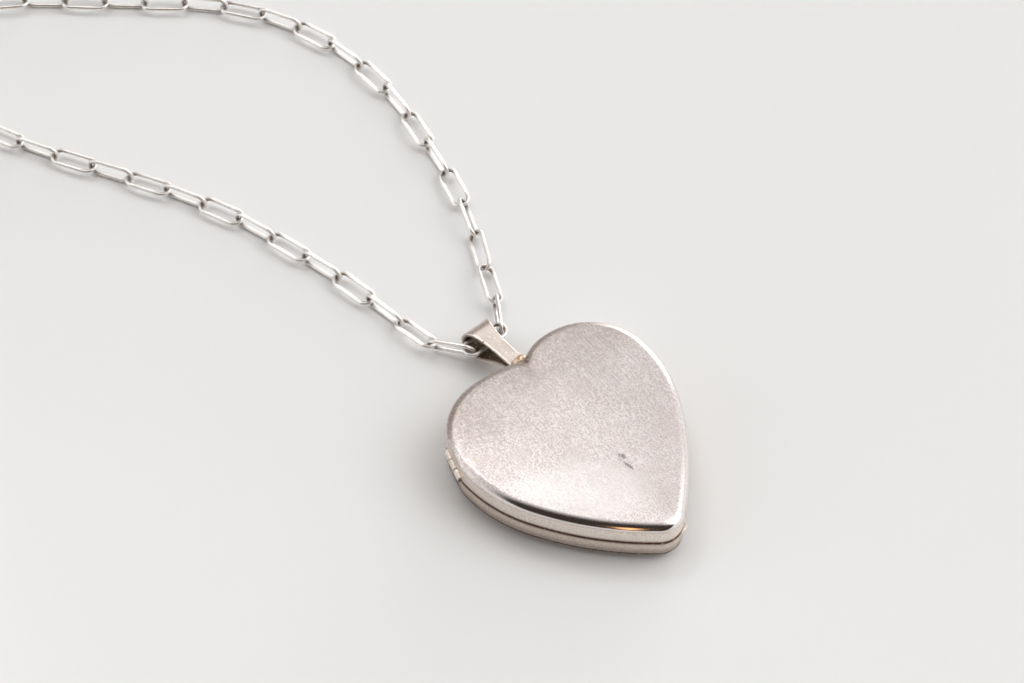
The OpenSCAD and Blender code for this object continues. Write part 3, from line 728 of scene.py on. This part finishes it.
vs, fs, ts, n = [], [], [], 0
for s0, s1 in ((-HL / 2, -KN / 2 - KG), (KN / 2 + KG, HL / 2)):
    v, f, t = knuckle(s0, s1, 0.184, "k", "back_half")
    vs.append(v)
    fs += [tuple(i + n for i in q) for q in f]
    ts.append(t)
    n += len(v)
add("hinge_knuckles_outer", np.vstack(vs), fs, "band", "back_half", ["hinge_knuckles_back"], {"tarn_and_shade": np.concatenate(ts)})
v, f, t = knuckle(-KN / 2, KN / 2, 0.21, "k", "front_half")
add("hinge_knuckle_middle", v, f, "band", "front_half", ["hinge_knuckle_front"], {"tarn_and_shade": t})
v, f = lathe(H3, HT3, [(-HL / 2, 0.11), (-HL / 2 + 0.02, 0.165), (-HL / 2 + 0.05, 0.18), (HL / 2 - 0.05, 0.18), (HL / 2 - 0.02, 0.165), (HL / 2, 0.11)], 40)
add("hinge_pin_rod", v, f, "steel", "back_half", ["hinge_pin"])

room = {
    "back": [rod(-HL / 2 - 0.01, -KN / 2, KR), rod(KN / 2, HL / 2 + 0.01, KR), rod(-KN / 2 - KG, KN / 2 + KG, KR + 0.06)],
    "front": [rod(-HL / 2 - 0.1, -KN / 2 + 0.01, KR + 0.06), rod(KN / 2 - 0.01, HL / 2 + 0.1, KR + 0.06), rod(-KN / 2, KN / 2, KR)],
}

# ------------------------------------------------------------------ side bands
BT = 0.6
prof = fillet([(0.0, Z_SEAM + 0.004, 0.17), (0.0, Z_BAND - 0.002, 0.09), (BT, Z_BAND - 0.002, 0.04), (BT, Z_SEAM + 0.004, 0.04)], 4)
extra = []
for a, b in zip(prof, prof[1:] + prof[:1]):
    extra.append(a)
    if abs(a[0]) < 1e-6 and abs(b[0]) < 1e-6 and b[1] - a[1] > 1:
        for k in range(1, 8):
            u = k / 8
            extra.append(np.array([-0.022 * math.sin(math.pi * u), a[1] + (b[1] - a[1]) * u]))
rings, tarn_and_shade = [], []
for o, z in extra:
    r = up(heart(o), z)
    for i in range(len(r)):
        w = 0.010 * noise.noise((r[i, 0] * 0.4, r[i, 1] * 0.4, z * 0.5))
        r[i, :2] += w
    rings.append(r)
    tn = 1.4 * math.exp(-((z - Z_SEAM) / 0.25) ** 2) + 0.55 * math.exp(-((Z_BAND - z) / 0.07) ** 2)
    if o > 0.3:
        tn = max(tn, 0.4)
    base = np.full(len(r), tn)
    near = np.linalg.norm(r[:, :2] - CLEFT, axis=1)
    base += 0.9 * np.exp(-(near / 1.3) ** 2)
    nh = np.linalg.norm(r[:, :2] - HI, axis=1)
    base += 0.12 * np.exp(-(nh / 2.6) ** 4)
    tarn_and_shade.append(np.clip(base, 0, 1))
v, f = skin(rings, close=True)
back_rim = add("back_side_band", v, f, "band", "back_half", ["back_rim"], {"tarn_and_shade": np.concatenate(tarn_and_shade)}, 40)
cut(back_rim, room["back"], 40)
# the front band is painted darker towards the edge that lies low by the floor: painted shade
tf = np.concatenate(tarn_and_shade) + 0.42 * sm((v[:, 2] - Z_SEAM - 0.7) / 1.3)
front_rim = add("front_side_band", flip(v), f, "band_front_shaded", "front_half", ["front_rim"], {"tarn_and_shade": np.clip(tf, 0, 1)}, 40)
cut(front_rim, room["front"], 40)

# thumbnail tab
tab_n = dirv(AA[0])
tab_p = HK * (CC[0] - YM) + HK * RR[0] * tab_n
tc = tab_p - 0.62 * tab_n
prof = [(2.70, 0.80), (2.72, 0.90), (2.78, 0.97), (2.86, 1.0), (3.12, 1.0), (3.20, 0.97), (3.26, 0.90), (3.28, 0.80)]
v, f = lathe([tc[0], tc[1], 0], [0, 0, 1], prof, 64)
d = np.linalg.norm(v[:, :2] - tc, axis=1)
tab = add("opening_tab_lip", v, f, "band", "front_half", ["opening_tab"], {"tarn_and_shade": np.clip(0.05 + 0.3 * (v[:, 2] > 3.2), 0, 1)})
hv, hf = skin([up(heart(0.0), 2.0), up(heart(0.0), 4.0)], caps=True)
cut(tab, [(hv, hf)])

# ------------------------------------------------------------------ inner bezels and closing lip
BZ, LH, LG = 0.4, 0.45, 0.05
Z_BEZ = Z_SEAM + LH + 0.1


def hring(prof, mat, name, body, nodes, flipped=False, tarn_and_shade=0.3):
    rs = [up(heart(o), z) for o, z in prof]
    v, f = skin(rs, close=True)
    tn = np.concatenate([np.full(len(rs[0]), tarn_and_shade)] * len(rs))
    return add(name, flip(v) if flipped else v, f, mat, body, nodes, {"tarn_and_shade": tn}, 35)


hring(fillet([(BT, Z_BEZ, 0.05), (BT, Z_BAND - 0.25, 0.05), (BT + BZ, Z_BAND - 0.25, 0.05), (BT + BZ, Z_BEZ, 0.08)], 3),
      "dark", "back_bezel_ring", "back_half", ["back_bezel"])
# front: seen in flipped heights, so the lip stands at the seam's other side
zl = Z_SEAM - LH
fb = hring(fillet([(BT + LG, zl, 0.07), (BT + LG, Z_SEAM - 0.005, 0.02), (BT, Z_SEAM, 0.0), (BT, Z_BAND - 0.25, 0.05), (BT + BZ, Z_BAND - 0.25, 0.05), (BT + BZ, zl, 0.09)], 3),
           "dark", "front_bezel_and_lip", "front_half", ["front_bezel"], flipped=True)
c, s = HIT, HIN
bx = [HI + HIT * a + HIN * b for a, b in ((-2.6, -2), (2.6, -2), (2.6, 2), (-2.6, 2))]
cut(fb, [skin([up(np.array(bx), Z_SEAM), up(np.array(bx), Z_SEAM + 2)], caps=True), rod(-HL / 2 - 0.2, HL / 2 + 0.2, KR + 0.06)])

# ------------------------------------------------------------------ frames, windows, cards
FO, FW = BT + BZ, 1.2
Z_FR = Z_BEZ + 0.05
fprof = fillet([(FO, Z_FR, 0.05), (FO, Z_FR + 0.4, 0.03), (FO + FW, Z_FR + 0.4, 0.03), (FO + FW, Z_FR + 0.16, 0.09), (FO + 0.62, Z_FR + 0.16, 0.06), (FO + 0.4, Z_FR + 0.02, 0.05)], 3)
for side, fl, body in (("back", False, "back_half"), ("front", True, "front_half")):
    hring(fprof, "gilt", side + "_picture_frame", body, [side + "_photo_frame"], fl, 0.2)
    for what, mat, z0, z1 in (("window", "window", 0.4, 0.6), ("photo_card", "card", 0.6, 0.8)):
        b = 0.03
        rs = [up(heart(FO + b), Z_FR + z0), up(heart(FO), Z_FR + z0 + b), up(heart(FO), Z_FR + z1 - b), up(heart(FO + b), Z_FR + z1)]
        if what == "photo_card":
            rs = [up(heart(FO + 1.6), Z_FR + z0)] + rs + [up(heart(FO + 1.6), Z_FR + z1)]
        v, f = skin(rs, caps=True)
        tn = np.concatenate([np.full(len(rs[0]), 0.0 if (what == "photo_card" and j in (0, len(rs) - 1)) else 1.0) for j in range(len(rs))])
        add(side + "_" + what + "_sheet", flip(v) if fl else v, f, mat, body, [side + "_" + what], {"tarn_and_shade": tn})

# ------------------------------------------------------------------ bail
APEX, ROOT, ER, T = np.array([CLEFT[1] + 0.95, 4.05]), CLEFT[1] + 0.55, 1.2, 0.5
d = EYE - APEX
dist = np.linalg.norm(d)
ea = math.degrees(math.atan2(EYE[1] - APEX[1], EYE[0] - APEX[0]))
eb = math.degrees(math.asin(ER / dist))
a_up, a_dn = ea + eb + 90, ea - eb - 90
nu, nd = dirv(a_up), dirv(a_dn)
tu, td = EYE + ER * nu, EYE + ER * nd
outer, inner = [], []
dr = np.array([-nu[1], nu[0]])
outer.append(APEX + T * nu + dr * ((ROOT - (APEX + T * nu)[0]) / dr[0]))
inner.append(APEX)
for k in range(15):
    q = APEX + (tu - APEX) * k / 15
    inner.append(q)
    outer.append(q + T * nu)
for k in range(45):
    n_ = dirv(a_up + (a_dn - a_up) * k / 44)
    inner.append(EYE + ER * n_)
    outer.append(EYE + (ER + T) * n_)
for k in range(14, -1, -1):
    q = APEX + (td - APEX) * k / 15
    inner.append(q)
    outer.append(q + T * nd)
dr = np.array([nd[1], -nd[0]])
outer.append(APEX + T * nd + dr * ((ROOT - (APEX + T * nd)[0]) / dr[0]))
inner.append(APEX)


def bail_w(y, z):
    t = np.clip((y - ROOT) / (EYE[0] + 1.8 - ROOT), 0, 1)
    even = 2.1 + (3.6 - 2.1) * t
    waisted = 1.72 + (3.6 - 1.72) * t ** 3.5
    k = float(sm((z - EYE[1] + 0.9) / 1.6))
    return even + (waisted - even) * k


V, F, key = [], [], {}


def bv(p, u, kind):
    k = (round(p[0], 5), round(p[1], 5), round(u, 4))
    if k not in key:
        key[k] = len(V)
        w = bail_w(p[0], p[1]) * 0.5
        V.append((CL_OFF + u * w, p[0], p[1], kind))
    return key[k]


cols = np.linspace(-1, 1, 9)
for loop, kind in ((outer, 0.0), (inner, 1.0)):
    for a, b in zip(loop, loop[1:]):
        if np.linalg.norm(np.array(a) - b) < 1e-6:
            continue
        for u0, u1 in zip(cols, cols[1:]):
            F.append((bv(a, u0, kind), bv(a, u1, kind), bv(b, u1, kind), bv(b, u0, kind)))
for u in (-1.0, 1.0):
    for k in range(len(outer) - 1):
        q = [bv(outer[k], u, 0.0), bv(outer[k + 1], u, 0.0), bv(inner[k + 1], u, 1.0), bv(inner[k], u, 1.0)]
        q = list(dict.fromkeys(q))
        if len(q) > 2:
            F.append(tuple(q))
    F.append((bv(outer[0], u, 0.0), bv(inner[0], u, 1.0), bv(outer[-1], u, 0.0)))
for u0, u1 in zip(cols, cols[1:]):
    F.append((bv(outer[0], u0, 0.0), bv(outer[0], u1, 0.0), bv(outer[-1], u1, 0.0), bv(outer[-1], u0, 0.0)))
V = np.array(V)
kind = V[:, 3]
V = V[:, :3].copy()
for i in range(len(V)):
    x, y, z = V[i]
    w = noise.noise((x * 0.8, y * 0.8, z * 0.8 + 5))
    V[i, 2] += 0.02 * w * sm((y - ROOT) / 2)
    V[i, 0] += 0.03 * w * (1 if x > CL_OFF else -1) * (abs(x - CL_OFF) > 0.9)
edge_t = np.clip(kind * 1.0 + 0.25 * np.exp(-((V[:, 1] - ROOT) / 0.8) ** 2), 0, 1)
bail = add("bail_strip", V, F, "bail", "back_half", ["bail"], {"tarn_and_shade": edge_t}, 40)
bevel(bail, 0.10, 3, 50, 40)
# a nick in the edge of the upper leaf
cut(bail, [lathe([CL_OFF - 1.02, 17.6, 0], [0, 0, 1], [(3.0, 0.13), (5.5, 0.13)], 24)], 40)

# solder that joins it to the cleft: a lumpy fillet
bm = bmesh.new()
bmesh.ops.create_icosphere(bm, subdivisions=5, radius=1.0)
v = np.array([p.co for p in bm.verts])
f = [[q.index for q in face.verts] for face in bm.faces]
bm.free()
for i in range(len(v)):
    p = Vector(v[i])
    k = 1 + 0.13 * noise.noise(p * 1.6 + Vector((3, 1, 0))) + 0.07 * noise.noise(p * 4.2) + 0.035 * noise.noise(p * 9)
    v[i] = v[i] * k * [1.15, 0.74, 0.95]
v = v + [CL_OFF + 0.10, CLEFT[1] + 0.50, 4.50]
sol = add("bail_solder_joint", v, f, "solder", "back_half", ["bail_solder"], smooth=70)
hv, hf = skin([up(heart(0.03), 1.0), up(heart(0.03), 5.35)], caps=True)
cut(sol, [(hv, hf)], 70)

# ------------------------------------------------------------------ floor and light
fm = Mat("floor_gloss_white")
n1 = fm.noise(fm.p, 0.012, 3, 0.5)
n2 = fm.noise(fm.p, 0.35, 4, 0.6)
fcol = fm.mix(fm.rng(n1, 0.3, 0.7), rgb(0.846, 0.849, 0.850), rgb(0.866, 0.869, 0.870))
fm.finish(fcol, fm.rng(n2, 0.3, 0.7, 0.20, 0.24), 0.0)
me = bpy.data.meshes.new("floor")
me.from_pydata([(-2, -2, 0), (2, -2, 0), (2, 2, 0), (-2, 2, 0)], [], [(0, 1, 2, 3)])
floor = bpy.data.objects.new("floor", me)
me.materials.append(fm.m)
scene.collection.objects.link(floor)

world = bpy.data.worlds.new("studio")
scene.world = world
world.use_nodes = True
nt = world.node_tree
nt.nodes.clear()


def wn(kind, ins=(), **props):
    n = nt.nodes.new(kind)
    for k, v in props.items():
        setattr(n, k, v)
    for k, v in dict(ins).items():
        if isinstance(v, bpy.types.NodeSocket):
            nt.links.new(v, n.inputs[k])
        else:
            n.inputs[k].default_value = v
    return n


D = wn("ShaderNodeTexCoord").outputs["Generated"]


def wdot(v):
    v = Vector(v).normalized()
    return wn("ShaderNodeVectorMath", {0: D, 1: tuple(v)}, operation="DOT_PRODUCT").outputs["Value"]


def wr(v, a, b, c=0.0, d=1.0):
    return wn("ShaderNodeMapRange", {"Value": v, "From Min": a, "From Max": b, "To Min": c, "To Max": d}, interpolation_type="SMOOTHSTEP").outputs[0]


def wm(op, a, b):
    return wn("ShaderNodeMath", {0: a, 1: b}, operation=op).outputs[0]


def wmix(f, a, b, mode="MIX"):
    return wn("ShaderNodeMix", {0: f, 6: a, 7: b}, data_type="RGBA", blend_type=mode).outputs[2]


def sky(az, el):
    a, e = math.radians(az), math.radians(el)
    return (math.cos(a) * math.cos(e), math.sin(a) * math.cos(e), math.sin(e))


zz = wdot((0, 0, 1))
col = wmix(wr(zz, 0.10, 0.70), rgb(0.86, 0.85, 0.84), rgb(0.74, 0.73, 0.72))
col = wmix(wr(zz, 0.93, 0.985), col, rgb(0.90, 0.895, 0.89))
# a broad ceiling light, and a smaller one beside it
col = wmix(wr(wdot(sky(61, 65)), 0.950, 0.996), col, rgb(1.16, 1.15, 1.14))
# fill from a wall on the right of the camera
col = wmix(wr(wdot(sky(318, 50)), 0.82, 0.965), col, rgb(1.75, 1.74, 1.73))
col = wmix(wr(wdot(sky(90, 59)), 0.984, 0.9975), col, rgb(5.2, 5.16, 5.1))
# dimmer between them and the right
col = wmix(wr(wdot(sky(16, 47)), 0.90, 0.98), col, rgb(0.43, 0.42, 0.41))
# the far wall, low down and dim
col = wmix(wr(wdot(sky(84, 14)), 0.72, 0.92), col, rgb(0.30, 0.265, 0.24))
# windows: low on the right, and on the left
col = wmix(wr(wdot(sky(28, 9)), 0.950, 0.990), col, rgb(4.2, 4.16, 4.1))
col = wmix(wr(wdot(sky(154, 36)), 0.78, 0.93), col, rgb(1.05, 1.04, 1.03))
# the dark side of the room, where the camera stands
col = wmix(wr(wdot(sky(232, 41)), 0.56, 0.78), col, rgb(0.035, 0.028, 0.024))
# a small warm lamp in it, tall and narrow
side = wm("ABSOLUTE", wdot((-math.sin(math.radians(226)), math.cos(math.radians(226)), 0)), 0.0)
lamp = wm("MULTIPLY", wr(side, 0.060, 0.022), wr(wdot(sky(226, 24)), 0.955, 0.985))
col = wmix(lamp, col, rgb(1.9, 1.02, 0.46))
bg = wn("ShaderNodeBackground", {"Color": col, "Strength": 1.13})
ow = wn("ShaderNodeOutputWorld", {"Surface": bg.outputs[0]})


def area(name, loc, size, power, colour=(1, 1, 1)):
    ld = bpy.data.lights.new(name, "AREA")
    ld.shape, ld.size, ld.energy, ld.color = "DISK", size, power, colour
    ob = bpy.data.objects.new(name, ld)
    ob.location = loc
    ob.rotation_euler = (Vector((0, 0.03, 0)) - Vector(loc)).to_track_quat("-Z", "Y").to_euler()
    scene.collection.objects.link(ob)
    return ob


area("key_soft", (0.500, -0.350, 0.792), 0.9, 2.7, (1.0, 0.995, 0.985))
